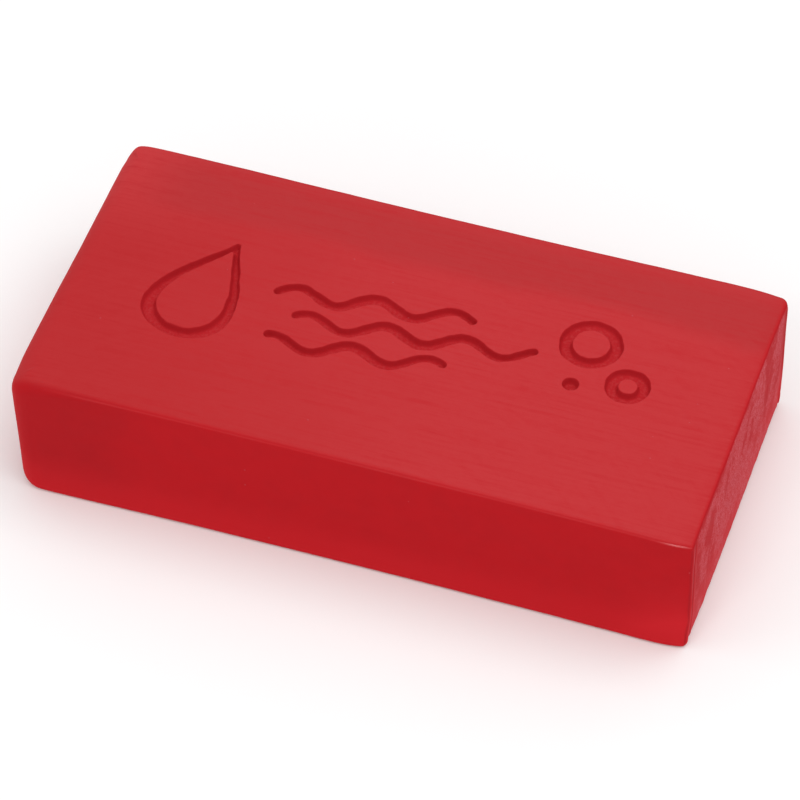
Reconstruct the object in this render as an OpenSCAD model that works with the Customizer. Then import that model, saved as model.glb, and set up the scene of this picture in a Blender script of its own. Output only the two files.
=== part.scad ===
// Detailing clay bar: one solid block of kneadable clay with softened edges and
// a mark incised in its top face. Millimetres. The origin is at the middle of the
// underside, +X runs along the bar, +Y to its back and +Z up.

/* [Body] */
// Length of the bar, along X
bar_length = 100; // [70:1:160]
// Width of the bar, along Y
bar_width = 50; // [40:1:90]
// Height of the bar, along Z
bar_height = 22; // [14:0.5:40]

/* [Edges] */
// Radius of the four long edges
long_edge_r = 1.2; // [0.4:0.1:4]
// Radius of the two upright corners at the pressed end, on -X
pressed_corner_r = 2.4; // [0.4:0.1:6]
// Radius of the two upright corners at the sliced end, on +X
sliced_corner_r = 1.4; // [0.4:0.1:6]
// Radius of the upper and lower edges of the pressed end
pressed_edge_r = 1.6; // [0.4:0.1:4]
// Radius of the upper and lower edges of the sliced end
sliced_edge_r = 0.6; // [0.4:0.1:4]

/* [Mark] */
// Width of an incised stroke at its widest
stroke_width = 1.9; // [1.2:0.1:2.6]
// Depth of an incised stroke below the top face
stroke_depth = 1; // [0.5:0.1:3]
// Angle of the whole mark to the length of the bar
mark_angle = 6; // [0:1:10]
// Rows of ripples in the mark
ripple_rows = 3; // [1:1:3]

/* [Hidden] */
$fn = 96;
past = 1; // how far a cutter runs past the face it cuts

// The mark is laid out for a 100 x 50 mm face, and grows with the bar.
mark_scale = min(bar_length / 100, bar_width / 50);

// Droplet: the band between two teardrops, one inside the other.
drop_at = [-29, 3.6] * mark_scale;
drop_tall = 20.6 * mark_scale;
drop_wide = 13.2 * mark_scale;
drop_lean = 18; // degrees that the point leans towards +X
drop_taper = 1.5; // how hollow the flanks are on the way to the point
drop_blunt = 20; // degrees of the outline left off each side of the point
drop_steps = 50;
// the widest that the bare teardrop curve gets, to scale it by
drop_peak = 2 * pow((drop_taper + 1) / (drop_taper + 2), (drop_taper + 1) / 2)
    / sqrt(drop_taper + 2);

// Ripples: one wavy stroke a row, each row [left end, height, length].
rows = [[-18.5, 5.2, 28], [-15, 0.4, 34], [-18, -4.4, 25]] * mark_scale;
wave_length = 11.2 * mark_scale;
wave_rise = 1.25 * mark_scale;
row_phase = 35; // degrees that each row's wave runs ahead of the row above
ripple_taper = 0.3; // share of its width that a ripple loses at its ends
ripple_steps = 52;
cap_steps = 8; // facets in the round end of a ripple

// Bubbles: two rings and a dimple, each [x, y, radius].
bubbles = [[26.6, 4.4, 3.6], [33, -2.4, 2.3]] * mark_scale;
dimple = [25.2, -3.6, 1.2] * mark_scale;

// A rectangle about the origin whose corners on -x and on +x have their own radii.
module soft_rectangle(long, wide, left_r, right_r) {
    difference() {
        square([long, wide], center = true);
        for (side = [[-1, left_r], [1, right_r]])
            for (end = [-1, 1])
                translate([side[0] * (long / 2 - side[1]), end * (wide / 2 - side[1])])
                    difference() {
                        translate([side[0] < 0 ? -side[1] - past : 0, end < 0 ? -side[1] - past : 0])
                            square(side[1] + past);
                        circle(side[1]);
                    }
    }
}

// The block is what its plan, its long side and its cross-section have in common.
module soft_block() {
    translate([0, 0, bar_height / 2])
        intersection() {
            linear_extrude(bar_height, center = true)
                soft_rectangle(bar_length, bar_width, pressed_corner_r, sliced_corner_r);
            rotate([90, 0, 0])
                linear_extrude(bar_width + 2 * past, center = true)
                    soft_rectangle(bar_length, bar_height, pressed_edge_r, sliced_edge_r);
            rotate([90, 0, 90])
                linear_extrude(bar_length + 2 * past, center = true)
                    soft_rectangle(bar_width, bar_height, long_edge_r, long_edge_r);
        }
}

// The outline of a teardrop about the middle of its axis, its point on +y.
function teardrop(tall, wide) = [
    for (i = [0:drop_steps])
        let (
            t = drop_blunt + (360 - 2 * drop_blunt) * i / drop_steps,
            spread = sin(t) * pow(sin(t / 2), drop_taper) / drop_peak
        )
            [wide / 2 * spread, tall / 2 * cos(t)]
];

// The points of a half circle that closes the end of a stroke.
function round_end(at, r, from_angle) = [
    for (i = [1:cap_steps - 1])
        let (a = from_angle - 180 * i / cap_steps)
            at + r * [cos(a), sin(a)]
];

// The outline of a wavy stroke that is widest in the middle of its run.
function wavy_stroke(start, run, phase) =
    let (
        turn = 360 / wave_length,
        path = [
            for (i = [0:ripple_steps])
                let (x = run * i / ripple_steps)
                    start + [x, wave_rise * sin(turn * x + phase)]
        ],
        slope = [
            for (i = [0:ripple_steps])
                let (x = run * i / ripple_steps)
                    atan(wave_rise * turn * PI / 180 * cos(turn * x + phase))
        ],
        half = [
            for (i = [0:ripple_steps])
                stroke_width / 2 * (1 - ripple_taper * pow(cos(180 * i / ripple_steps), 2))
        ],
        left = [
            for (i = [0:ripple_steps])
                path[i] + half[i] * [-sin(slope[i]), cos(slope[i])]
        ],
        right = [
            for (i = [ripple_steps:-1:0])
                path[i] - half[i] * [-sin(slope[i]), cos(slope[i])]
        ]
    )
        concat(
            left,
            round_end(path[ripple_steps], half[ripple_steps], slope[ripple_steps] + 90),
            right,
            round_end(path[0], half[0], slope[0] - 90)
        );

module droplet() {
    translate([drop_at[0], drop_at[1], 0])
        rotate(-drop_lean)
            linear_extrude(stroke_depth + past)
                difference() {
                    polygon(teardrop(drop_tall, drop_wide));
                    polygon(teardrop(drop_tall - 2 * stroke_width, drop_wide - 2 * stroke_width));
                }
}

module ripples() {
    for (i = [0:ripple_rows - 1])
        linear_extrude(stroke_depth + past)
            polygon(wavy_stroke([rows[i][0], rows[i][1]], rows[i][2], i * row_phase));
}

module bubble_rings() {
    for (b = bubbles)
        translate([b[0], b[1], 0])
            rotate_extrude()
                translate([b[2] - stroke_width / 2, 0]) square([stroke_width, stroke_depth + past]);
    translate([dimple[0], dimple[1], 0]) cylinder(h = stroke_depth + past, r = dimple[2]);
}

// Everything that is cut from the top face.
module mark_cutter() {
    translate([0, 0, bar_height - stroke_depth])
        rotate(mark_angle) {
            droplet();
            ripples();
            bubble_rings();
        }
}

module clay_block() {
    color([0.72, 0.1, 0.13])
        difference() {
            soft_block();
            mark_cutter();
        }
}

clay_block();
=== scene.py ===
"""The looks of a detailing clay bar: one block of kneadable red clay.

The block is one closed skin. A structured band of stations and rows makes the sides, the
rounded edges and the rims that pressing and slicing left. Two triangulated sheets close it:
the flat underside, and the top face with its incised mark. Lengths in this script are
millimetres until the mesh is made. The sliced end is at +X, the pressed end at -X, and the
front at -Y.
"""

import math

import bpy
import numpy as np
from mathutils import Matrix, Vector
from mathutils.geometry import delaunay_2d_cdt


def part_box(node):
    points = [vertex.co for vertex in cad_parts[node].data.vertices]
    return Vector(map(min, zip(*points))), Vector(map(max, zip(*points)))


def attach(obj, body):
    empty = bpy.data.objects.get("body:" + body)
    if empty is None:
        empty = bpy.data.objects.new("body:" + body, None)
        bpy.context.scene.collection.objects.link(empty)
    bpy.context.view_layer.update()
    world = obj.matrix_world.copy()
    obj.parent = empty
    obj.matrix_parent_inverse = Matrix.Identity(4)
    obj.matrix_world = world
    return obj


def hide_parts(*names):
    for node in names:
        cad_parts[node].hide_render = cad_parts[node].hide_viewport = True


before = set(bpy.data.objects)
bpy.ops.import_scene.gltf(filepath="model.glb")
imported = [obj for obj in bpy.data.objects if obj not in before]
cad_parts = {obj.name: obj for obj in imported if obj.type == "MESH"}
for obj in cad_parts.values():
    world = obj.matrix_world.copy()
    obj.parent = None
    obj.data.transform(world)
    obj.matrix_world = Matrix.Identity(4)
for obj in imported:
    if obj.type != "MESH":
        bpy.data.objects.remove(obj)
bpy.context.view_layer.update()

MM = 0.001
NODE = "clay_block"

BOX_LOW, BOX_HIGH = (np.array(corner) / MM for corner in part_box(NODE))
LENGTH, WIDTH, HEIGHT = BOX_HIGH - BOX_LOW
HALF_X, HALF_Y = LENGTH / 2, WIDTH / 2

# ---------------------------------------------------------------- shape of the block

SKIN = 0.05  # how far the plain faces lie inside the box, so that ridges can stand proud
CORNERS = ((-1, -1), (1, -1), (1, 1), (-1, 1))  # front left, front right, back right, back left
UPRIGHT_R = (3.6, 0.6, 1.3, 2.0)  # radius of the upright edge at each corner
TOP_R = (0.6, 0.6, 0.45, 3.8)  # radius of the top edge on the front, right, back and left
BASE_R = (0.6, 1.9, 1.0, 2.1)  # radius of the lower edge on the same sides
TIGHTEST_R = 0.25
BLEND_REACH = 1.6  # over which the radius of one edge blends into that of the next
SOFT_CORNER = 1.3  # extra radius of the front top edge where it nears the pressed end
SOFT_CORNER_RUN = (34, 47)  # over which distances to the left that grows
SOFT_HEADS = ((0, 1.3, 7.0), (2, 0.4, 3.5), (3, 0.4, 5.0))  # corner, extra top radius, reach
SOFT_FEET = ((0, 0.5, 5.0), (1, -0.25, 3.0), (2, -0.5, 8.0))  # the same for the lower edge

WAIST_FRONT = 0.41  # how far the front face pulls in at mid length
WAIST_BACK = 0.27
WAIST_BACK_RUN = (-44, 4)  # in x, over which the waist of the back sets in
SHOULDER_FRONT = 0.68  # how far the front face pulls in at the sliced end
SHOULDER_BACK = 0.05
SHOULDER_RUN = 6.4
SHOULDER_PAST = 1.5  # how far past the sliced end the shoulder would reach its full depth
SHOULDER_POWER = 1.5
SHOULDER_LEFT = 0.7  # how far the pressed end pulls in towards the back
SHOULDER_LEFT_RUN = (4.0, -1.5)  # from the back, where that starts and ends
SLANT_LEFT = 0.17  # how much further in its back half stands
SLANT_LEFT_RUN = (-7.0, 5.0)
FOOT_IN_LEFT = 1.1  # how far the foot of the pressed end stands in from its top
FOOT_IN_FRONT = 0.24
FOOT_IN_FRONT_RUN = (-40, 5)  # in x, over which the front's foot moves in fully
FOOT_IN_FRONT_LEAST = 0.25  # the share of it at the pressed end
FOOT_TUCKS = ((-1, 0.22, 5.0), (1, 0.12, 7.0))  # sliced corners: side, pull of the foot, reach
CORNER_DIPS = ((-1, 0.35, 4.5), (1, 0.35, 4.5))  # sliced corners: side, fall of the top, reach
BACK_FALL = 0.12  # how far the top face falls away towards the back edge
BACK_FALL_RUN = (13.0, HALF_Y + 4)
AT_END_POWER = 6  # the higher, the closer to an end its pull stays
AT_FRONT_POWER = 4  # the same for the front

# Fine ridges and valleys across an edge, as height, place and spread.
RIM_AT = 0.1  # the ridge of the long top edges, past the middle of the edge
SLICE_LINE_AT = 0.55  # the smooth line under the top edge of the sliced end
BURR_AT = 0.7  # the burr beside the upright edges of the sliced end
ROLLED_LINES = ((0.045, RIM_AT, 0.13), (-0.04, RIM_AT - 0.34, 0.16))
SLICED_TOP_LINES = ((-0.05, SLICE_LINE_AT, 0.3),)
SLICED_FOOT_LINES = ((0.02, -0.55, 0.13), (-0.02, -0.9, 0.2))
BURR_LINES = (
    (0.07, BURR_AT, 0.17),
    (-0.05, BURR_AT - 0.6, 0.25),
    (0.04, BURR_AT + 1.35, 0.2),
    (-0.08, BURR_AT + 0.65, 0.3),
)
LINES_FACING = (0.6, 0.98)  # share of a heading towards a side, where its lines set in
BURR_STANDS = ((0.2, 1.4), (-1.4, 0.4))  # past the top edge, and short of the lower one
BACK_ROLLED = 0.6  # height of the ridge at the back, as a share of the front's
CRISP_FROM = (-47.0, -37.0)  # in x, where the long top edges turn from soft to crisp
BURR_DRIFT = 0.2
FURROWS_FACING = (0.9, 1.0)
FURROW_DEPTH = 0.028
CHATTER_DEPTH = 0.02
SWELL_DEPTH = 0.045
PUCKER_DEPTH = 0.01

FIELD_PEAK = 1.4  # brings the peaks of a random field to about 1
# Random fields along the surface, as seed, shortest wave and longest wave.
RIDGE_FIELD = (5, 6, 40)
DRIFT_FIELD = (6, 2.5, 14)
PALE_BURR_FIELD = (7, 1.5, 9)
FURROW_FIELD = (11, 0.9, 3.2)
CHATTER_FIELD = (12, 2.5, 7)
SWELL_FIELD = (21, 16, 60)
PUCKER_FIELD = (22, 3, 8)
WOBBLE_FIELD = (31, 0.5, 4.5)
PRESSURE_FIELD = (51, 7, 22)
GRIT_FIELD = (52, 0.45, 1.4)
LIP_FIELD = (53, 2, 9)
USUAL_SHARE = (0.75, 0.5)  # of a ridge's height: on average, and times its field

# ---------------------------------------------------------------- stations and rows

SIDE_STEP = 0.5  # between stations on the long sides
END_STEP = 0.36  # between stations on the ends
CORNER_STEPS = 11
NEAR_CORNER = (0.09, 0.2, 0.33, *np.arange(0.46, 2.0, 0.14), 2.2, 2.45)  # stations beside a corner
SHEET_INSET = 5.0  # from the sides to where the triangulated sheets begin
SHEET_ROWS = (0, 0.3, 0.52, 0.68, 0.79, 0.87, 0.93, 0.97)  # shares of the way to the top edge
TOP_ROWS = 15  # round the top edge
SIDE_ROWS = (*np.arange(0.12, 1.5, 0.15) / 20, *np.linspace(0.09, 0.97, 25))  # shares down a side
BASE_ROWS = 10  # round the lower edge
UNDER_ROWS = (0.35, 1)  # shares of the way in to the underside's sheet
PLAIN_STEP = 0.5
FLOOR_STEP = 0.27
UNDERSIDE_STEP = 2.2
GRID_JITTER = 0.16
GRID_SEEDS = {"plain": 41, "floor": 42, "underside": 43}
TOP_MARGIN = 0.4  # between the band and the first points of the top sheet
UNDERSIDE_MARGIN = 1.0
CHUNK = 4000  # points measured at a time
SAME_POINT = 1e-6  # points of a sheet closer than this become one
TINY = 1e-9  # keeps a division by a length from failing
TINIER = 1e-12  # the same for a length's square

# ---------------------------------------------------------------- the incised mark

MARK_SCALE = min(LENGTH / 100, WIDTH / 50)
MARK_ANGLE = math.radians(6)
STROKE_WIDTH = 1.9
STROKE_DEPTH = 1.0
DROP_AT = (-29.0, 3.6)
DROP_TALL = 20.6
DROP_WIDE = 13.2
DROP_LEAN = math.radians(18)
DROP_TAPER = 1.5
DROP_BLUNT = math.radians(20)
RIPPLES = ((-18.5, 5.2, 28.0), (-15.0, 0.4, 34.0), (-18.0, -4.4, 25.0))  # x, y, run
WAVE_LENGTH = 11.2
WAVE_RISE = 1.25
ROW_PHASE = math.radians(35)
RIPPLE_TAPER = 0.3
BUBBLES = ((26.6, 4.4, 3.6), (33.0, -2.4, 2.3))  # x, y, radius
DIMPLE = (25.2, -3.6, 1.2)
DROP_POINTS = 400
RIPPLE_POINTS = 300
CIRCLE_POINTS = 240
CAP_POINTS = 24
OUTLINE_STEP = 0.2
FEWEST_POINTS = 12
WOBBLE = 0.065  # how far a hand-drawn rim strays from its line
WALL_REACH = 0.5  # from the rim to where the floor is level
WALL_POWER = 2.3  # the higher, the steeper the wall and the flatter the floor
WALL_START = 0.02  # the wall starts this far outside the rim
PRESSURE = 0.1  # how much the depth varies with the hand
LIP_HEIGHT = 0.05
LIP_AT = 0.26  # from the rim to the crest of its lip
LIP_SPREAD = 0.15
LIP_FROM = (0.02, 0.12)  # from the rim, where its lip sets in
LIP_VARIES = (0.7, 0.5)  # share of the lip's height: on average, and times its field
GRIT = 0.05  # roughness of the floor of a stroke
GRIT_FROM = (0.12, 0.4)  # inside the rim, where it sets in
CONTOURS = (-0.72, -0.46, -0.28, -0.14, -0.05, 0.0, 0.06, 0.13, 0.22, 0.33, 0.47, 0.64, 0.82)
OFF_CONTOUR = 0.03  # a point further from its contour than this is left out
MARK_REACH = 0.86  # the plain grid of the top sheet stays this far from a rim
FLOOR_REACH = CONTOURS[-1] + 0.08  # and the grid of a floor stays this far inside it
MARK_MARGIN = 1.5  # a stroke is measured this far round its outline
FAR_OUTSIDE = -9.0

# ---------------------------------------------------------------- where the masks lie

# Masks over the points, among them painted sheen, painted highlights and painted shade.
MASKS = ("wiped", "sliced", "walls", "floors", "rim", "burnished", "burr", "dark_line")
SHEEN_TO = (0.4, 0.25, 0.4, 2.6)  # how far past each top edge the painted sheen and wipe marks reach
SHEEN_OVER = (1.4, 1.1, 0.6, 1.6)  # over what distance the painted sheen and wipe marks end
LESS_SHEEN = 0.15  # how much sooner the painted sheen and wipe marks end along the left part of the front edge
LESS_SHEEN_RUN = (-25, 35)  # over which distances to the left that sets in
LINE_RISE = 0.85  # how much nearer the sliced top edge its smooth line gets past the front
LINE_RISE_RUN = (-13, -5)  # in y
BLOOM_FROM = (BURR_AT + 1.2, BURR_AT + 2.4)  # onto the sliced end, where its bloom sets in
BLOOM_FADE = 0.45  # over what distance it sets in under the top edge
BLOOM_FOOT = (-0.1, 0.5)  # short of the lower edge, where it ends
BLOOM_LEFT = 0.3  # how much of it the pressed end has
BLOOM_LEFT_FROM = (2.6, 4.2)
RUBBED_GLINT_AT = 47.5  # in x, the middle of the glossy spot on the front top edge, worn by rubbing, whose colour is a painted highlight
RUBBED_GLINT_SPREAD = 1.45
RUBBED_GLINT_WIDTH = 0.1
PALE_RIM_LINES = ((1.0, RIM_AT, 0.13),)  # painted highlight on the ridge of the long top edges; share, place and spread, as are these
# Painted highlights on the ridges of the burr beside the sliced end.
PALE_BURR_LINES = ((1.0, BURR_AT, 0.22), (0.45, BURR_AT + 1.6, 0.2))
# Painted shade in the fine valleys beside the long top edges and the burr.
DARK_RIM_LINES = ((0.4, RIM_AT - 0.28, 0.15),)
DARK_BURR_LINES = ((0.9, 0.08, 0.24), (1.0, BURR_AT + 0.72, 0.36))
BACK_RIM = 0.5  # how much of the painted highlight on the ridge the back has
LINES_STAND = ((0.3, 1.2), (0.0, 0.8))  # past the top edge, and short of the lower one
DARK_EDGE = 0.65  # painted shade in the valley under the sliced top edge
DARK_EDGE_FROM = (-0.2, 0.05)
DARK_EDGE_FADE = 0.35
LONG_SIDE_FACING = (0.5, 0.95)  # share of a heading towards a side, where its masks set in
RIGHT_FACING = (0.6, 0.95)
LEFT_FACING = (0.8, 0.995)
LOWEST_SHEEN = -0.1  # a normal's height, under which there is no painted sheen or wipe marks
PLAIN_UP_TO = (-0.04, 0.02)  # across a rim, where the plain face gives way to the wall
MARK_FLOOR = (0.3, 0.52)  # where a wall's colour gives way to the floor's


def smooth(value, start, end):
    """0 at start, 1 at end, and an S-curve between them."""
    t = np.clip((value - start) / (end - start), 0, 1)
    return t * t * (3 - 2 * t)


def bell(value, middle, spread):
    """1 at the middle, falling to a third at one spread from it."""
    return np.exp(-(((value - middle) / spread) ** 2))


def at_side(value, half, power):
    """1 at one side of the block, falling off quickly away from it."""
    return np.clip(value / half, 0, 1) ** power


def relief(value, lines):
    """Height of parallel ridges and valleys at a distance across them."""
    return sum(height * bell(value, at, spread) for height, at, spread in lines)


def varying(field, share=USUAL_SHARE):
    """A share that varies with a random field."""
    return share[0] + share[1] * field


def ripple_field(points, seed, shortest, longest, stretch=(1, 1, 1), terms=28):
    """A smooth random field of about -1 to 1, from sine waves of random heading."""
    rng = np.random.default_rng(seed)
    axes = rng.normal(size=(terms, 3))
    axes /= np.linalg.norm(axes, axis=1)[:, None]
    lengths = shortest * (longest / shortest) ** rng.random(terms)
    phases = rng.random(terms) * 2 * math.pi
    weights = np.sqrt(lengths)
    waves = (points / np.array(stretch)) @ (axes * (2 * math.pi / lengths)[:, None]).T
    return np.sin(waves + phases) @ weights / (np.linalg.norm(weights) * FIELD_PEAK)


def at_height(points, height):
    """Points of a plan as points in space."""
    return np.column_stack([points, np.full(len(points), height)])


# ---------------------------------------------------------------- the band round the sides


def corner_at(corner, inset):
    """Centre and radius of one upright edge, in a plan drawn in by inset."""
    radius = np.maximum(UPRIGHT_R[corner] - inset, TIGHTEST_R)
    sx, sy = CORNERS[corner]
    reach = inset + radius
    return sx * (HALF_X - reach), sy * (HALF_Y - reach), radius


def shares(span, step):
    """Shares of the way along one side, closer together near both of its ends."""
    near = np.array(NEAR_CORNER)
    middle = np.linspace(near[-1], span - near[-1], round((span - 2 * near[-1]) / step) + 1)
    return np.concatenate([[0], near[:-1], middle, span - near[:-1][::-1]]) / span


def stations():
    """Stations round the plan: first corner, second corner, share between them, heading."""
    rows = []
    for k in range(4):
        heading = math.radians(-90 + 90 * k)
        turn = (k + 1) % 4
        side, step = (LENGTH, SIDE_STEP) if k % 2 == 0 else (WIDTH, END_STEP)
        span = side - UPRIGHT_R[k] - UPRIGHT_R[turn]
        rows += [(k, turn, share, heading) for share in shares(span, step)]
        for i in range(CORNER_STEPS):
            rows.append((turn, turn, 0.0, heading + math.pi / 2 * i / CORNER_STEPS))
    return rows


class Band:
    """The sides and rounded edges, as stations round the plan and rows down the profile.

    Each station has a heading and a distance along the band. Each point has a place, a normal,
    and its distances past the middle of the top edge, past the middle of the lower edge, and
    onto the sliced end.
    """

    def __init__(self):
        first, second, self.share, angle = np.array(stations()).T
        self.first, self.second = first.astype(int), second.astype(int)
        self.heading = np.stack([np.cos(angle), np.sin(angle)], 1)
        outline = self.plan(np.zeros(len(angle)))
        steps = np.linalg.norm(np.roll(outline, -1, 0) - outline, axis=1)
        self.along = np.concatenate([[0], np.cumsum(steps)[:-1]])
        self.around = steps.sum()
        self.spacing = (steps + np.roll(steps, 1)) / 2
        self.set_radii(outline)
        self.set_points()

    def set_radii(self, outline):
        """The radius of the top edge and of the lower edge at each station."""
        top = self.side_values(TOP_R)
        on_front = at_side(-self.heading[:, 1], 1, AT_FRONT_POWER)
        top += SOFT_CORNER * on_front * smooth(-outline[:, 0], *SOFT_CORNER_RUN)
        base = self.side_values(BASE_R)
        for radii, extras in ((top, SOFT_HEADS), (base, SOFT_FEET)):
            for corner, extra, reach in extras:
                radii += extra * smooth(-np.abs(self.past_upright(corner)), -reach, 0)
        self.top_r, self.base_r = self.blended(top), self.blended(base)

    def plan(self, inset):
        """Where each station is, in a plan drawn in by inset."""
        ends = []
        for corner_of in (self.first, self.second):
            place = np.zeros((len(corner_of), 2))
            for c in range(4):
                mine = corner_of == c
                x, y, radius = corner_at(c, inset[mine])
                place[mine, 0] = x + radius * self.heading[mine, 0]
                place[mine, 1] = y + radius * self.heading[mine, 1]
            ends.append(place)
        return ends[0] + (ends[1] - ends[0]) * self.share[:, None]

    def past_upright(self, corner):
        """How far each station is past the middle of one upright edge, along the plan."""
        mine = (self.first == corner) & (self.second == corner)
        gap = self.along - self.along[mine].mean()
        return (gap + self.around / 2) % self.around - self.around / 2

    def blended(self, values):
        """Values averaged along the band, so that they never change abruptly."""
        gap = np.abs(self.along[:, None] - self.along)
        weights = bell(np.minimum(gap, self.around - gap), 0, BLEND_REACH) * self.spacing
        return weights @ values / weights.sum(1)

    def side_values(self, values):
        """A value for the front, right, back and left, blended round the corners."""
        front, right, back, left = values
        x, y = self.heading.T
        return (
            front * np.clip(-y, 0, 1) ** 2
            + back * np.clip(y, 0, 1) ** 2
            + right * np.clip(x, 0, 1) ** 2
            + left * np.clip(-x, 0, 1) ** 2
        )

    def profile(self):
        """Rows from the top sheet to the underside's: inset, height, and tilt of the normal."""
        top, base = self.top_r, self.base_r
        rows = []
        for u in SHEET_ROWS:
            rows.append((SHEET_INSET + (top - SHEET_INSET) * u, np.full_like(top, HEIGHT), 0.0))
        for i in range(TOP_ROWS):
            tilt = math.pi / 2 * i / (TOP_ROWS - 1)
            rows.append((top * (1 - math.sin(tilt)), HEIGHT - top * (1 - math.cos(tilt)), tilt))
        for v in SIDE_ROWS:
            rows.append((0 * top, (HEIGHT - top) * (1 - v) + base * v, math.pi / 2))
        for i in range(BASE_ROWS):
            turn = math.pi / 2 * i / (BASE_ROWS - 1)
            inset, height = base * (1 - math.cos(turn)), base * (1 - math.sin(turn))
            rows.append((inset, height, math.pi / 2 + turn))
        for u in UNDER_ROWS:
            rows.append((base + (SHEET_INSET - base) * u, 0 * base, math.pi))
        return rows

    def set_points(self):
        """What each point of the band has, as rows x stations."""
        place, normal = [], []
        for inset, height, tilt in self.profile():
            place.append(np.column_stack([self.plan(inset), height]))
            normal.append(at_height(self.heading * math.sin(tilt), math.cos(tilt)))
        self.place, self.normal = np.array(place), np.array(normal)
        self.shape = self.place.shape[:2]
        run = np.linalg.norm(np.diff(self.place, axis=0), axis=2)
        run = np.concatenate([np.zeros((1, self.shape[1])), np.cumsum(run, 0)])
        edge_starts = len(SHEET_ROWS)
        edge_ends = edge_starts + TOP_ROWS - 1
        foot_ends = len(run) - len(UNDER_ROWS) - 1
        foot_starts = foot_ends - BASE_ROWS + 1
        self.past_top = run - (run[edge_starts] + run[edge_ends]) / 2
        self.past_base = run - (run[foot_starts] + run[foot_ends]) / 2
        from_edge = np.minimum(self.past_upright(1), -self.past_upright(2))
        self.onto_end = from_edge + BURR_DRIFT * self.field(*DRIFT_FIELD, stretch=(1, 3, 1))

    def field(self, seed, shortest, longest, **more):
        """A random field over the band's points."""
        flat = self.place.reshape(-1, 3)
        return ripple_field(flat, seed, shortest, longest, **more).reshape(self.shape)

    def standing(self, past_top, short_of_base):
        """1 on the upright part of the band, fading out over these distances from its edges."""
        return smooth(self.past_top, *past_top) * smooth(-self.past_base, *short_of_base)

    def crisp(self):
        """1 along the long edges, fading to 0 where they turn soft by the pressed end."""
        return smooth(self.place[..., 0], *CRISP_FROM)


def rims(band):
    """The fine ridges and valleys that pressing and slicing left along the edges."""
    x, y = band.heading.T
    front, right, back = (smooth(facing, *LINES_FACING) for facing in (-y, x, y))
    strength = varying(band.field(*RIDGE_FIELD))
    rolled = relief(band.past_top, ROLLED_LINES) * (front + BACK_ROLLED * back) * band.crisp()
    sliced = relief(band.past_top, SLICED_TOP_LINES) + relief(band.past_base, SLICED_FOOT_LINES)
    burr = relief(band.onto_end, BURR_LINES) * band.standing(*BURR_STANDS)
    return strength * (rolled + right * sliced + burr)


def drag_marks(band):
    """Shallow upright furrows where the blade went down the sliced end."""
    right = smooth(band.normal[..., 0], *FURROWS_FACING)
    furrows = band.field(*FURROW_FIELD, stretch=(1, 1, 9), terms=40)
    chatter = band.field(*CHATTER_FIELD, stretch=(1, 6, 1))
    return right * (FURROW_DEPTH * furrows + CHATTER_DEPTH * chatter)


def unevenness(points):
    """The slow swells of clay that has been handled, never proud of the plain faces."""
    swell = SWELL_DEPTH * (ripple_field(points, *SWELL_FIELD) - 1)
    return swell + PUCKER_DEPTH * ripple_field(points, *PUCKER_FIELD) - SKIN


def pull_long_sides(p):
    """The waist of the long sides, and their shoulders at the sliced end."""
    in_front = p[:, 1] < 0
    waist = np.where(in_front, WAIST_FRONT, WAIST_BACK * smooth(p[:, 0], *WAIST_BACK_RUN))
    draw_in = waist * (1 - (np.abs(p[:, 0]) / HALF_X) ** 2)
    shoulder = np.where(in_front, SHOULDER_FRONT, SHOULDER_BACK)
    setting_in = smooth(p[:, 0], HALF_X - SHOULDER_RUN, HALF_X + SHOULDER_PAST)
    draw_in += shoulder * setting_in**SHOULDER_POWER
    p[:, 1] *= 1 - draw_in / HALF_Y


def pull_ends_and_feet(p):
    """The slant and shoulder of the pressed end, and the feet that stand in."""
    low = 1 - np.clip(p[:, 2] / HEIGHT, 0, 1)
    pull = SHOULDER_LEFT * smooth(p[:, 1], *(HALF_Y - run for run in SHOULDER_LEFT_RUN))
    pull += SLANT_LEFT * smooth(p[:, 1], *SLANT_LEFT_RUN)
    p[:, 0] += pull * at_side(-p[:, 0], HALF_X, AT_END_POWER)
    p[:, 0] += FOOT_IN_LEFT * low * at_side(-p[:, 0], HALF_X, AT_END_POWER)
    for side, tuck, reach in FOOT_TUCKS:
        near = bell(np.hypot(p[:, 1] - side * HALF_Y, p[:, 2]), 0, reach)
        p[:, 0] -= tuck * near * at_side(p[:, 0], HALF_X, AT_END_POWER)
    fully = smooth(p[:, 0], *FOOT_IN_FRONT_RUN)
    foot_in = FOOT_IN_FRONT * (FOOT_IN_FRONT_LEAST + (1 - FOOT_IN_FRONT_LEAST) * fully)
    p[:, 1] += foot_in * low * at_side(-p[:, 1], HALF_Y, AT_FRONT_POWER)


def drop_top(p):
    """The fall of the top face towards the back edge and the sliced corners."""
    fall = BACK_FALL * smooth(p[:, 1], *BACK_FALL_RUN)
    for side, dip, reach in CORNER_DIPS:
        fall += dip * bell(np.hypot(p[:, 0] - HALF_X, p[:, 1] - side * HALF_Y), 0, reach)
    p[:, 2] *= 1 - fall / HEIGHT


def settle(points):
    """The points with the slow shape of the whole block, kept inside the CAD box."""
    p = points.copy()
    pull_long_sides(p)
    pull_ends_and_feet(p)
    drop_top(p)
    return np.clip(p + (0, 0, BOX_LOW[2]), BOX_LOW, BOX_HIGH)


# ---------------------------------------------------------------- the outlines of the mark


def resample(loop):
    """A closed loop with its points an even step apart."""
    closed = np.vstack([loop, loop[:1]])
    run = np.concatenate([[0], np.cumsum(np.linalg.norm(np.diff(closed, axis=0), axis=1))])
    count = max(FEWEST_POINTS, round(run[-1] / OUTLINE_STEP))
    at = np.linspace(0, run[-1], count, endpoint=False)
    return np.column_stack([np.interp(at, run, closed[:, k]) for k in (0, 1)])


def inward(loop):
    """The direction into a closed loop at each of its points."""
    way = np.roll(loop, -1, 0) - np.roll(loop, 1, 0)
    way /= np.linalg.norm(way, axis=1)[:, None] + TINY
    x, y = loop.T
    area = np.sum(x * np.roll(y, -1) - np.roll(x, -1) * y)
    return np.column_stack([-way[:, 1], way[:, 0]]) * (1 if area > 0 else -1)


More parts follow.
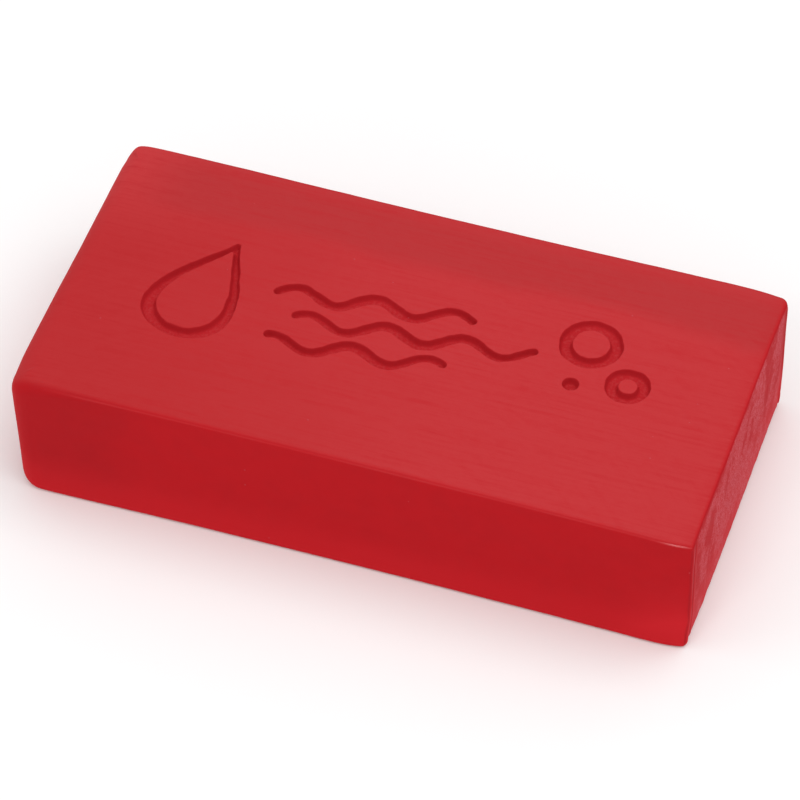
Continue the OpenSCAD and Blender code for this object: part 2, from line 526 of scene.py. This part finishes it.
def teardrop(tall, wide):
    t = np.linspace(DROP_BLUNT, 2 * math.pi - DROP_BLUNT, DROP_POINTS)
    peak = 2 * ((DROP_TAPER + 1) / (DROP_TAPER + 2)) ** ((DROP_TAPER + 1) / 2)
    peak /= math.sqrt(DROP_TAPER + 2)
    spread = np.sin(t) * np.sin(t / 2) ** DROP_TAPER / peak
    return np.column_stack([wide / 2 * spread, tall / 2 * np.cos(t)])


def circle(x, y, radius):
    t = np.linspace(0, 2 * math.pi, CIRCLE_POINTS, endpoint=False)
    return np.column_stack([x + radius * np.cos(t), y + radius * np.sin(t)])


def wavy_stroke(x, y, run, phase):
    """The outline of a ripple that is widest in the middle of its run."""
    t = np.linspace(0, 1, RIPPLE_POINTS)
    turn = 2 * math.pi / WAVE_LENGTH
    path = np.column_stack([x + run * t, y + WAVE_RISE * np.sin(turn * run * t + phase)])
    slope = np.arctan(WAVE_RISE * turn * np.cos(turn * run * t + phase))
    half = STROKE_WIDTH / 2 * (1 - RIPPLE_TAPER * np.cos(math.pi * t) ** 2)
    side = half[:, None] * np.column_stack([-np.sin(slope), np.cos(slope)])
    turns = np.linspace(math.pi / 2, -math.pi / 2, CAP_POINTS)[1:-1]
    far = slope[-1] + turns
    near = slope[0] + math.pi + turns
    cap_far = path[-1] + half[-1] * np.column_stack([np.cos(far), np.sin(far)])
    cap_near = path[0] + half[0] * np.column_stack([np.cos(near), np.sin(near)])
    return np.vstack([path + side, cap_far, (path - side)[::-1], cap_near])


def turned(loop, angle):
    c, s = math.cos(angle), math.sin(angle)
    return loop @ np.array([[c, s], [-s, c]])


def hand_drawn(loop):
    """The loop placed on the top face, with the small wander of a hand-cut rim."""
    loop = resample(turned(loop, MARK_ANGLE) * MARK_SCALE)
    wander = ripple_field(at_height(loop, 0), *WOBBLE_FIELD, terms=48)
    return loop + inward(loop) * (WOBBLE * wander)[:, None]


def strokes():
    """Each stroke of the mark as its outer outline and, for a ring, its inner one."""
    drop = [
        turned(teardrop(DROP_TALL - inset, DROP_WIDE - inset), -DROP_LEAN) + DROP_AT
        for inset in (0, 2 * STROKE_WIDTH)
    ]
    mark = [[hand_drawn(loop) for loop in drop]]
    for i, (x, y, run) in enumerate(RIPPLES):
        mark.append([hand_drawn(wavy_stroke(x, y, run, i * ROW_PHASE))])
    for x, y, radius in BUBBLES:
        edges = (radius + STROKE_WIDTH / 2, radius - STROKE_WIDTH / 2)
        mark.append([hand_drawn(circle(x, y, r)) for r in edges])
    mark.append([hand_drawn(circle(*DIMPLE))])
    return mark


def depth_inside(points, loop):
    """How far each point is inside a loop; negative outside it."""
    a, b = loop, np.roll(loop, -1, 0)
    ab = b - a
    climb = np.where(ab[:, 1] == 0, TINIER, ab[:, 1])
    depth = np.empty(len(points))
    for start in range(0, len(points), CHUNK):
        p = points[start : start + CHUNK, None, :]
        ap = p - a
        t = np.clip(np.sum(ap * ab, 2) / (np.sum(ab * ab, 1) + TINIER), 0, 1)
        gap = np.sqrt(np.min(np.sum((ap - t[..., None] * ab) ** 2, 2), 1))
        crosses = (a[:, 1] > p[..., 1]) != (b[:, 1] > p[..., 1])
        at = a[:, 0] + (p[..., 1] - a[:, 1]) * ab[:, 0] / climb
        inside = np.sum(crosses & (p[..., 0] < at), 1) % 2 == 1
        depth[start : start + CHUNK] = np.where(inside, gap, -gap)
    return depth


def mark_depth(points, mark):
    """How far each point is inside the nearest stroke; negative outside all of them."""
    depth = np.full(len(points), FAR_OUTSIDE)
    for stroke in mark:
        low, high = stroke[0].min(0) - MARK_MARGIN, stroke[0].max(0) + MARK_MARGIN
        near = np.all((points > low) & (points < high), 1)
        if not near.any():
            continue
        inside = depth_inside(points[near], stroke[0])
        if len(stroke) > 1:
            inside = np.minimum(inside, -depth_inside(points[near], stroke[1]))
        depth[near] = np.maximum(depth[near], inside)
    return depth


# ---------------------------------------------------------------- the two sheets


def grid_points(margin, step, seed):
    """A jittered triangular grid over the inside of the band."""
    half_x, half_y = HALF_X - SHEET_INSET - margin, HALF_Y - SHEET_INSET - margin
    rng = np.random.default_rng(seed)
    rows = []
    for i, y in enumerate(np.arange(-half_y, half_y, step * math.sqrt(3) / 2)):
        xs = np.arange(-half_x + step / 2 * (i % 2), half_x, step)
        rows.append(np.column_stack([xs, np.full(len(xs), y)]))
    grid = np.vstack(rows)
    return grid + rng.uniform(-GRID_JITTER, GRID_JITTER, grid.shape) * step


def top_points(mark):
    """Points of the top sheet, which follow the rims and walls of the strokes."""
    plain = grid_points(TOP_MARGIN, PLAIN_STEP, GRID_SEEDS["plain"])
    floor = grid_points(TOP_MARGIN, FLOOR_STEP, GRID_SEEDS["floor"])
    points = [
        plain[mark_depth(plain, mark) < -MARK_REACH],
        floor[mark_depth(floor, mark) > FLOOR_REACH],
    ]
    for stroke in mark:
        for k, loop in enumerate(stroke):
            into = inward(loop) * (1 if k == 0 else -1)
            for level in CONTOURS:
                ring = loop + into * level
                points.append(ring[np.abs(mark_depth(ring, mark) - level) < OFF_CONTOUR])
    return np.vstack(points)


def triangulate(ring, inner):
    """Triangles over a ring of points and the points inside it, as indices into both."""
    every = [Vector(p) for p in np.vstack([ring, inner])]
    count = len(ring)
    edges = [(i, (i + 1) % count) for i in range(count)]
    _, _, faces, origins, _, _ = delaunay_2d_cdt(every, edges, [], 1, SAME_POINT, True)
    first = [o[0] for o in origins]
    return [tuple(first[v] for v in face) for face in faces]


def incise(points, into_mark):
    """Height of the top face over each point, relative to the plain face."""
    flat = at_height(points, 0)
    pressure = 1 + PRESSURE * ripple_field(flat, *PRESSURE_FIELD)
    across = np.clip((into_mark + WALL_START) / WALL_REACH, 0, 1)
    cut = STROKE_DEPTH * pressure * (1 - (1 - across) ** WALL_POWER)
    rough = GRIT * ripple_field(flat, *GRIT_FIELD, terms=48) * smooth(into_mark, *GRIT_FROM)
    lip = LIP_HEIGHT * bell(-into_mark, LIP_AT, LIP_SPREAD) * smooth(-into_mark, *LIP_FROM)
    lip *= varying(ripple_field(flat, *LIP_FIELD), LIP_VARIES)
    return lip - cut + rough


# ---------------------------------------------------------------- the mesh


def build_clay():
    band = Band()
    flat = band.place.reshape(-1, 3)
    rise = (rims(band) + drag_marks(band)).ravel() + unevenness(flat)
    side = flat + band.normal.reshape(-1, 3) * rise[:, None]

    mark = strokes()
    sheet = top_points(mark)
    into_mark = mark_depth(sheet, mark)
    top = at_height(sheet, HEIGHT)
    top[:, 2] += incise(sheet, into_mark) + unevenness(top)

    under = grid_points(UNDERSIDE_MARGIN, UNDERSIDE_STEP, GRID_SEEDS["underside"])
    base = at_height(under, 0)
    base[:, 2] -= unevenness(base)

    points = settle(np.vstack([side, top, base]))
    faces = band_faces(*band.shape) + sheet_faces(band, sheet, under)
    return make_object("clay", points * MM, faces, surface_masks(band, into_mark, len(base)))


def band_faces(rows, columns):
    faces = []
    for here in range(0, (rows - 1) * columns, columns):
        below = here + columns
        for c in range(columns):
            n = (c + 1) % columns
            faces.append((here + c, below + c, below + n, here + n))
    return faces


def sheet_faces(band, sheet, under):
    """Faces of the top sheet and of the underside, joined to the band's first and last rows."""
    rows, columns = band.shape
    band_points = rows * columns

    def faces(row, points, start):
        """Faces over one sheet, whose points are numbered from start on."""
        for face in triangulate(band.place[row, :, :2], points):
            yield tuple(v + row * columns if v < columns else v - columns + start for v in face)

    top = list(faces(0, sheet, band_points))
    base = [face[::-1] for face in faces(rows - 1, under, band_points + len(sheet))]
    return top + base


def band_masks(band):
    """Where the band has wipe marks and painted sheen, bloom, painted highlights and painted
    shade, as rows x stations.
    """
    x, y = band.heading.T
    front, back = smooth(-y, *LONG_SIDE_FACING), smooth(y, *LONG_SIDE_FACING)
    right, left = smooth(x, *RIGHT_FACING), smooth(-x, *LEFT_FACING)
    along_x, along_y = band.place[0, :, 0], band.place[0, :, 1]
    past_top, past_base, onto_end = band.past_top, band.past_base, band.onto_end

    # Painted sheen with wipe marks past the top edges, less of it along the left part of the
    # front.
    less = LESS_SHEEN * front * smooth(-along_x, *LESS_SHEEN_RUN)
    to_go = band.side_values(SHEEN_TO) - less - past_top
    wiped = smooth(to_go, 0, band.side_values(SHEEN_OVER)) * (band.normal[..., 2] > LOWEST_SHEEN)

    line_at = SLICE_LINE_AT * (1 - LINE_RISE * smooth(along_y, *LINE_RISE_RUN))
    below = smooth(past_top, line_at, line_at + BLOOM_FADE)
    sliced = smooth(onto_end, *BLOOM_FROM) * below * smooth(-past_base, *BLOOM_FOOT)
    sliced += BLOOM_LEFT * left * smooth(past_top, *BLOOM_LEFT_FROM)

    # Painted highlights on the ridges of the burr and of the long top edges.
    standing = band.standing(*LINES_STAND)
    burr = relief(onto_end, PALE_BURR_LINES)
    burr *= standing * varying(band.field(*PALE_BURR_FIELD))
    rim = (front + BACK_RIM * back) * band.crisp() * relief(past_top, PALE_RIM_LINES)
    # A glossy spot on the front top edge, worn by rubbing, whose colour is a painted highlight.
    rubbed_glint = front * bell(past_top, RIM_AT, RUBBED_GLINT_WIDTH)
    rubbed_glint *= bell(band.place[..., 0], RUBBED_GLINT_AT, RUBBED_GLINT_SPREAD)

    # Painted shade in the valleys beside the edges.
    under_edge = smooth(past_top, *DARK_EDGE_FROM)
    under_edge *= 1 - smooth(past_top, line_at, line_at + DARK_EDGE_FADE)
    valleys = [standing * relief(onto_end, [line]) for line in DARK_BURR_LINES]
    valleys.append((front + back) * band.crisp() * relief(past_top, DARK_RIM_LINES))
    valleys.append(DARK_EDGE * right * under_edge)
    dark = np.maximum.reduce(valleys)
    return {
        "wiped": wiped,
        "sliced": sliced,
        "rim": rim,
        "burnished": rubbed_glint,
        "burr": burr,
        "dark_line": dark,
    }


def top_masks(into_mark):
    """Where the top sheet has wipe marks and painted sheen, a stroke's wall, and a stroke's floor.
    """
    plain = 1 - smooth(into_mark, *PLAIN_UP_TO)
    floor = smooth(into_mark, *MARK_FLOOR)
    return {"wiped": plain, "walls": (1 - plain) * (1 - floor), "floors": floor}


def surface_masks(band, into_mark, base_count):
    """The material's masks over all points, which are 0 where nothing says otherwise."""
    on_band, on_top = band_masks(band), top_masks(into_mark)
    sizes = (band.past_top.size, len(into_mark), base_count)
    no_band, no_top, on_base = (np.zeros(size) for size in sizes)
    masks = {}
    for name in MASKS:
        side, top = on_band.get(name, no_band), on_top.get(name, no_top)
        masks[name] = np.concatenate([side.ravel(), top, on_base])
    return masks


def make_object(name, points, faces, masks):
    mesh = bpy.data.meshes.new(name)
    mesh.from_pydata(points.tolist(), [], faces)
    for mask, values in masks.items():
        layer = mesh.attributes.new(mask, "FLOAT", "POINT")
        layer.data.foreach_set("value", values.astype(np.float32))
    mesh.polygons.foreach_set("use_smooth", np.ones(len(mesh.polygons), bool))
    mesh.update()
    return link(bpy.data.objects.new(name, mesh))


def link(obj):
    bpy.context.scene.collection.objects.link(obj)
    return obj


# ---------------------------------------------------------------- materials

RAW_RED = (0.475, 0.0108, 0.0155, 1)
DEEP_RED = (0.41, 0.0112, 0.0155, 1)
PAINTED_LIGHT_RED = (0.585, 0.0165, 0.0235, 1)  # painted light towards the foot of the sides
VALLEY_SHADE_RED = (0.36, 0.0095, 0.0145, 1)  # painted shade in the fine valleys beside the edges
# Painted sheen of the top face, also the painted highlight on the long edges' ridges and the pale
# grit of the strokes' floors.
SHEEN_AND_GRIT_RED = (0.50, 0.0365, 0.041, 1)
THIN_SHEEN_RED = (0.45, 0.0275, 0.0305, 1)  # thinner painted sheen, towards the pressed end
CORNER_SHEEN_RED = (0.515, 0.044, 0.048, 1)  # painted sheen at the back corner of the pressed end
DULL_SHADE_RED = (0.435, 0.0345, 0.0375, 1)  # painted shade: the duller band along the back
SLICED_RED = (0.485, 0.027, 0.034, 1)
FOOT_LIGHT_SLICED_RED = (0.56, 0.038, 0.047, 1)  # painted light towards the foot of the sliced end
# The pale bloom of the sliced end and of dust specks, also the painted highlight on the burr's
# ridges.
BLOOM_AND_HIGHLIGHT = (0.57, 0.125, 0.15, 1)
RUBBED_GLINT_RED = (0.68, 0.05, 0.055, 1)  # painted highlight where the corner of the top edge is worn glossy by rubbing
INCISED_RED = (0.45, 0.0165, 0.0225, 1)
FLOOR_RED = (0.47, 0.0195, 0.0255, 1)

# Where the painted sheen of the back corner of the pressed end lies.
SHEEN_CORNER = (-HALF_X - 1, HALF_Y + 3, HEIGHT)
SHEEN_CORNER_REACH = (27.0, 4.0)
END_MIDDLE = (HALF_X, 1.0, HEIGHT / 2)
END_OPEN_REACH = (14.0, 3.0)
CLOTH_CENTRE = (-6.0, -62.0, HEIGHT)  # of the arcs that a cloth swept
DULL_INNER = (14.5, 18.5)  # in y, the wandering border of the painted shade band along the back
DULL_OUTER = (21.0, 24.0)  # in y, where it thins towards the edge
DULL_LEFT = (-47.0, -36.0)
LEFT_SHADE_STARTS = (-26.0, -40.0)  # in x, painted shade: where the sides are darker by the pressed end
LEFT_SHADE_ENDS = (-HALF_X, -46.0)
CORNER_LIGHT_X = (37.0, 51.0)  # painted light: where the sides are brighter by the sliced end's foot
CORNER_LIGHT_Z = (16.0, 1.0)
FOOT_LIGHT_Z = (9.5, -1.0)  # painted light: where they are brighter all along
# Painted light towards the foot of the sliced end.
SLICED_FOOT_LIGHT_Z = (12.0, 1.0)
SHEEN_RUN = (-38, 30)  # in x, over which the painted sheen of the top face grows
SHEEN_THIN_X = (47.0, 49.5)  # where the painted sheen and wipe marks thin out by the sliced end

# Noise, as scale, detail, roughness and distortion. A combed one has a scale along each axis.
CLOUD = (0.045, 2.0)
MOTTLE = (0.3, 4.0)
GRAIN = (5.0, 3.0, 0.6)
GRITTY = (2.4, 3.0, 0.7)
STREAK = ((0.05, 1.7, 0.4), 5.0, 0.6)
HAIR = ((0.17, 3.0, 0.4), 4.0, 0.7)
SCUFFS = ((0.7, 1.3, 0.4), 3.0, 0.7)
FIBRES = ((1.4, 3.0, 0.75), 5.0, 0.75, 0.4)
FUZZ = ((2.0, 3.2, 3.6), 2.0, 0.8)
PATCHES = ((1.0, 0.16, 0.13), 4.0, 0.6, 0.3)
RINGS_SCALE = 0.9
SPECKS_SCALE = 0.3

COAT_ROUGHNESS = 0.16
COAT_IOR = 2.15
SPECULAR = 0.018
GLOW_WEIGHT = 0.1  # the share of the light that spreads inside the clay
GLOW_RADIUS = (1.0, 0.22, 0.2)
GLOW_DEPTH = 1.2
FLOOR_SPECULAR = 0.1
FLOOR_TONES = ((0.92, 0.92, 0.92, 1), (0.94, 0.94, 0.94, 1))


class Graph:
    """Short ways to add nodes to one material."""

    def __init__(self, name):
        self.material = bpy.data.materials.new(name)
        self.material.use_nodes = True
        self.tree = self.material.node_tree
        self.tree.nodes.clear()
        self.place = self.add("TexCoord").outputs["Object"]

    def add(self, kind, settings=None, **inputs):
        """A node whose inputs are given by name, or by number after an underscore."""
        node = self.tree.nodes.new("ShaderNode" + kind)
        for key, value in (settings or {}).items():
            setattr(node, key, value)
        for key, value in inputs.items():
            name = int(key[1:]) if key[0] == "_" else key.replace("_", " ")
            self.feed(node.inputs[name], value)
        return node

    def feed(self, socket, value):
        if isinstance(value, bpy.types.NodeSocket):
            self.tree.links.new(value, socket)
        else:
            socket.default_value = value

    def math(self, operation, first, *others):
        """The operation on two values, and on its result with each value after them."""
        for other in others:
            first = self.add("Math", {"operation": operation}, _0=first, _1=other).outputs[0]
        return first

    def total(self, *values):
        return self.math("ADD", *values)

    def less(self, *values):
        return self.math("SUBTRACT", *values)

    def product(self, *values):
        return self.math("MULTIPLY", *values)

    def noise(self, vector, scale, detail=3.0, roughness=0.55, distortion=0.0):
        node = self.add(
            "TexNoise",
            Vector=vector,
            Scale=scale,
            Detail=detail,
            Roughness=roughness,
            Distortion=distortion,
        )
        return node.outputs[0]

    def remap(self, value, low, high, to_low=0.0, to_high=1.0):
        """An S-curve from to_low at low to to_high at high."""
        settings = {"interpolation_type": "SMOOTHSTEP"}
        node = self.add("MapRange", settings, _0=value, _1=low, _2=high, _3=to_low, _4=to_high)
        return node.outputs[0]

    def blend(self, factor, first, second):
        node = self.add("Mix", {"data_type": "RGBA"}, _0=factor, _6=first, _7=second)
        return node.outputs[2]

    def distance(self, vector, centre):
        node = self.add("VectorMath", {"operation": "DISTANCE"}, _0=vector, _1=centre)
        return node.outputs["Value"]

    def mask(self, name):
        return self.add("Attribute", {"attribute_name": name}).outputs["Fac"]

    def finish(self, specular, **inputs):
        """The finished material, with a principled shader of these inputs."""
        shader = self.add("BsdfPrincipled", **inputs)
        shader.inputs["Specular IOR Level"].default_value = specular
        self.add("OutputMaterial", Surface=shader.outputs[0])
        return self.material


class ClayGraph(Graph):
    """The clay's graph, with the coordinates and random fields that its parts share."""

    def __init__(self):
        super().__init__("red_clay")
        scaled = self.add("VectorMath", {"operation": "SCALE"}, _0=self.place, _3=1 / MM)
        self.mm = scaled.outputs[0]
        self.x, self.y, self.z = self.add("SeparateXYZ", _0=self.mm).outputs
        self.cloud = self.noise(self.mm, *CLOUD)
        self.mottle = self.noise(self.mm, *MOTTLE)
        self.grain = self.noise(self.mm, *GRAIN)
        self.streak = self.combed(*STREAK, turn=-3)
        self.hair = self.combed(*HAIR, turn=-4)
        self.fibres = self.combed(*FIBRES)
        self.specks = self.speck_mask()

    def combed(self, scale, detail, roughness, distortion=0.0, turn=0.0):
        """Noise that is finer the larger its scale along an axis is, turned by some degrees."""
        turned_by = (0, 0, math.radians(turn))
        node = self.add("Mapping", Vector=self.mm, Scale=scale, Rotation=turned_by)
        return self.noise(node.outputs[0], 1.0, detail, roughness, distortion)

    def speck_mask(self):
        """Sparse pinholes and dust."""
        cells = self.add("TexVoronoi", Vector=self.mm, Scale=SPECKS_SCALE)
        dot = self.remap(cells.outputs["Distance"], 0.03, 0.05, 1.0, 0.0)
        random = self.add("SeparateXYZ", _0=cells.outputs["Color"]).outputs[0]
        return self.product(dot, self.remap(random, 0.6, 0.64))


def raw_clay(g):
    """The colour of the untouched sides: mottled, with painted shade by the pressed end and
    painted light towards the foot.
    """
    # Painted shade along the sides by the pressed end, over the clay's own mottle.
    left_shade = g.product(g.remap(g.x, *LEFT_SHADE_STARTS), g.remap(g.x, *LEFT_SHADE_ENDS))
    shade = g.total(g.remap(g.mottle, 0.35, 0.7, 0.0, 0.3), g.product(left_shade, 0.8))
    # Painted light towards the foot of the sides, more by the sliced end.
    corner_light = g.product(g.remap(g.x, *CORNER_LIGHT_X), g.remap(g.z, *CORNER_LIGHT_Z))
    foot_light = g.total(g.remap(g.z, *FOOT_LIGHT_Z, 0.0, 0.85), corner_light)
    return g.blend(foot_light, g.blend(shade, RAW_RED, DEEP_RED), PAINTED_LIGHT_RED)


def back_shade_band(g):
    """Painted shade: a duller band along the back of the top face, with a soft, wandering border.
    """
    border = g.total(g.y, g.product(g.cloud, 5.0))
    inner = g.remap(border, *DULL_INNER)
    outer = g.remap(g.y, *DULL_OUTER, 1.0, 0.55)
    return g.product(inner, outer, g.product(g.remap(g.x, *DULL_LEFT), 0.9))


def sheen_clay(g):
    """The colour of the painted sheen on the top face, paler at the back corner of the pressed end
    and with painted shade along the back.
    """
    across = g.total(g.x, g.product(g.cloud, 30), g.product(g.y, 0.5))
    top = g.blend(g.remap(across, *SHEEN_RUN), THIN_SHEEN_RED, SHEEN_AND_GRIT_RED)
    # Painted sheen at the back corner of the pressed end.
    pale = g.remap(g.distance(g.mm, SHEEN_CORNER), *SHEEN_CORNER_REACH, 0.0, 0.9)
    top = g.blend(pale, top, CORNER_SHEEN_RED)
    return g.blend(back_shade_band(g), top, DULL_SHADE_RED)


def wiping_arcs(g):
    """Faint arcs left by a cloth that was swept over the top face."""
    far = g.distance(g.mm, CLOTH_CENTRE)
    rings = g.add("TexNoise", {"noise_dimensions": "1D"}, W=far, Scale=RINGS_SCALE, Detail=3.0)
    return g.product(g.remap(rings.outputs[0], 0.5, 0.68), g.remap(g.cloud, 0.45, 0.6))


def sheen_with_wipe_marks(g):
    """How much painted sheen there is, broken up by wipe marks: scratches along the bar, scuffs
    and faint arcs.
    """
    scuffs = g.combed(*SCUFFS)
    broken = g.product(g.less(g.streak, 0.5), g.remap(g.mottle, 0.35, 0.62, 0.3, 1.4))
    scratched = g.total(broken, 0.68, g.product(g.hair, 0.5))
    scuffed = g.total(scratched, g.remap(scuffs, 0.35, 0.65, -0.06, 0.06))
    thinned = g.remap(g.x, *SHEEN_THIN_X, 0.0, 0.15)
    return g.less(scuffed, g.product(wiping_arcs(g), 0.08), thinned)


def sliced_clay(g):
    """The colour of the sliced end: a fibrous bloom in patches over deeper red, with painted light
    towards its foot.
    """
    fuzz = g.combed(*FUZZ)
    patches = g.combed(*PATCHES)
    near_middle = g.remap(g.distance(g.mm, END_MIDDLE), *END_OPEN_REACH, -0.01, 0.09)
    patchy = g.remap(g.total(patches, near_middle), 0.38, 0.6)
    haze = g.total(g.remap(g.fibres, 0.4, 0.72), g.remap(fuzz, 0.32, 0.68, -0.5, 0.5))
    haze = g.product(haze, g.remap(patchy, 0, 1, 0.1, 0.95))
    end = g.blend(g.remap(patchy, 0, 1, 0.45, 1.0), DEEP_RED, SLICED_RED)
    # Painted light towards the foot of the sliced end.
    end = g.blend(g.remap(g.z, *SLICED_FOOT_LIGHT_Z), end, FOOT_LIGHT_SLICED_RED)
    return g.blend(haze, end, BLOOM_AND_HIGHLIGHT)


def with_edge_lines(g, colour):
    """The colour with painted shade in the valleys and painted highlights on the ridges and on the
    glossy spot of the edges.
    """
    # Painted shade in the valleys, painted highlights on the ridges and on the glossy spot.
    ridge_highlight = g.product(g.mask("rim"), g.remap(g.cloud, 0.3, 0.7, 0.2, 0.6))
    colour = g.blend(g.product(g.mask("dark_line"), 0.85), colour, VALLEY_SHADE_RED)
    colour = g.blend(ridge_highlight, colour, SHEEN_AND_GRIT_RED)
    colour = g.blend(g.product(g.mask("burr"), 0.55), colour, BLOOM_AND_HIGHLIGHT)
    # Painted highlight on the glossy spot of the front top edge.
    return g.blend(g.product(g.mask("burnished"), 0.75), colour, RUBBED_GLINT_RED)


def with_mark(g, colour):
    """The colour with the walls and gritty floors of the incised mark."""
    grit = g.noise(g.mm, *GRITTY)
    floor = g.blend(g.remap(grit, 0.42, 0.66), FLOOR_RED, SHEEN_AND_GRIT_RED)
    colour = g.blend(g.product(g.mask("walls"), 0.95), colour, INCISED_RED)
    return g.blend(g.product(g.mask("floors"), 0.9), colour, floor)


def clay_colour(g):
    # Painted sheen over the top face and the tops of the sides, broken up by wipe marks.
    colour = g.blend(g.product(g.mask("wiped"), sheen_with_wipe_marks(g)), raw_clay(g), sheen_clay(g))
    colour = g.blend(g.mask("sliced"), colour, sliced_clay(g))
    colour = with_mark(g, with_edge_lines(g, colour))
    colour = g.blend(g.remap(g.grain, 0.3, 0.75, 0.0, 0.06), colour, DEEP_RED)
    return g.blend(g.product(g.specks, 0.25), colour, BLOOM_AND_HIGHLIGHT)


def clay_bump(g):
    """The finest relief, in millimetres, of the mottled clay, its scratches and its fibres."""
    scratches = g.total(g.product(g.streak, 0.012), g.product(g.hair, 0.005))
    height = g.total(
        g.product(g.grain, 0.0035),
        g.product(g.mottle, 0.02),
        g.product(scratches, g.mask("wiped")),
        g.product(g.fibres, 0.04, g.mask("sliced")),
        g.product(g.grain, 0.05, g.mask("floors")),
    )
    height = g.less(height, g.product(g.specks, 0.03))
    return g.add("Bump", Strength=1.0, Distance=MM, Height=height).outputs[0]


def clay_material():
    g = ClayGraph()
    rough = g.total(
        g.remap(g.streak, 0.3, 0.7, 0.54, 0.64),
        g.product(g.mask("sliced"), 0.1),
        g.product(g.mask("floors"), 0.12),
    )
    return g.finish(
        SPECULAR,
        Base_Color=clay_colour(g),
        Roughness=rough,
        Normal=clay_bump(g),
        Subsurface_Weight=GLOW_WEIGHT,
        Subsurface_Radius=GLOW_RADIUS,
        Subsurface_Scale=GLOW_DEPTH * MM,
        Coat_Weight=g.product(g.mask("burnished"), g.remap(g.mottle, 0.3, 0.6, 0.8, 1.0)),
        Coat_Roughness=COAT_ROUGHNESS,
        Coat_IOR=COAT_IOR,
    )


def floor_material():
    g = Graph("pale_floor")
    tone = g.remap(g.noise(g.place, 3.0), 0.3, 0.7)
    return g.finish(FLOOR_SPECULAR, Base_Color=g.blend(tone, *FLOOR_TONES), Roughness=0.9)


# ---------------------------------------------------------------- floor, light and camera

FLOOR_HALF = 4.0  # metres, as are the places, sizes and distances below
SKY_STRENGTH = 0.74
LIGHTS = (  # name, place, width and depth, watts
    ("overhead", (0.26, 0.03, 0.8), (0.7, 0.7), 2.82),
    ("left", (-0.7, -0.3, 0.35), (0.5, 0.4), 0.62),
    ("glint", (-0.09, -0.5, 0.62), (0.14, 0.14), 0.42),
)
VIEW_AZIMUTH = math.radians(18.2452)  # round from the front towards the sliced end
VIEW_ELEVATION = math.radians(47.6416)
VIEW_ROLL = math.radians(0.034)
VIEW_DISTANCE = 0.73332
VIEW_SIDE = 0.000175  # how far the camera stands to the right of the line to the bar's foot
VIEW_RISE = 0.005966
VIEW_LENS = 230.63
SENSOR = 36.0
NEAREST_SEEN = 0.01


def build_floor():
    h, z = FLOOR_HALF, BOX_LOW[2] * MM
    mesh = bpy.data.meshes.new("floor")
    mesh.from_pydata([(-h, -h, z), (h, -h, z), (h, h, z), (-h, h, z)], [], [(0, 1, 2, 3)])
    mesh.materials.append(floor_material())
    obj = link(bpy.data.objects.new("floor", mesh))


def area_light(name, place, size, watts):
    """A rectangular light that faces the middle of the bar."""
    light = bpy.data.lights.new(name, "AREA")
    light.shape = "RECTANGLE"
    light.size, light.size_y = size
    light.energy = watts
    way = Vector((0, 0, HEIGHT / 2 * MM)) - Vector(place)
    turn = way.to_track_quat("-Z", "Y").to_matrix().to_4x4()
    obj = link(bpy.data.objects.new(name, light))
    obj.matrix_world = Matrix.Translation(place) @ turn


def build_light():
    world = bpy.data.worlds.new("studio")
    world.use_nodes = True
    sky = world.node_tree.nodes["Background"]
    sky.inputs["Color"].default_value = (1, 1, 1, 1)
    sky.inputs["Strength"].default_value = SKY_STRENGTH
    bpy.context.scene.world = world
    for light in LIGHTS:
        area_light(*light)


def build_camera():
    ca, sa = math.cos(VIEW_AZIMUTH), math.sin(VIEW_AZIMUTH)
    ce, se = math.cos(VIEW_ELEVATION), math.sin(VIEW_ELEVATION)
    back = Vector((sa * ce, -ca * ce, se))
    level = Vector((ca, sa, 0))
    right = level * math.cos(VIEW_ROLL) + back.cross(level) * math.sin(VIEW_ROLL)
    up = back.cross(right)
    middle = (BOX_LOW + BOX_HIGH) / 2
    foot = Vector((middle[0], middle[1], BOX_LOW[2])) * MM
    place = foot + back * VIEW_DISTANCE + right * VIEW_SIDE + up * VIEW_RISE
    data = bpy.data.cameras.new("camera")
    data.lens, data.sensor_width = VIEW_LENS, SENSOR
    data.clip_start = NEAREST_SEEN
    camera = link(bpy.data.objects.new("camera", data))
    turn = Matrix((right, up, back)).transposed().to_4x4()
    camera.matrix_world = Matrix.Translation(place) @ turn
    bpy.context.scene.camera = camera


clay = build_clay()
clay.data.materials.append(clay_material())
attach(clay, "root")
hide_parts(NODE)
build_floor()
build_light()
build_camera()
bpy.context.scene.view_settings.view_transform = "Standard"
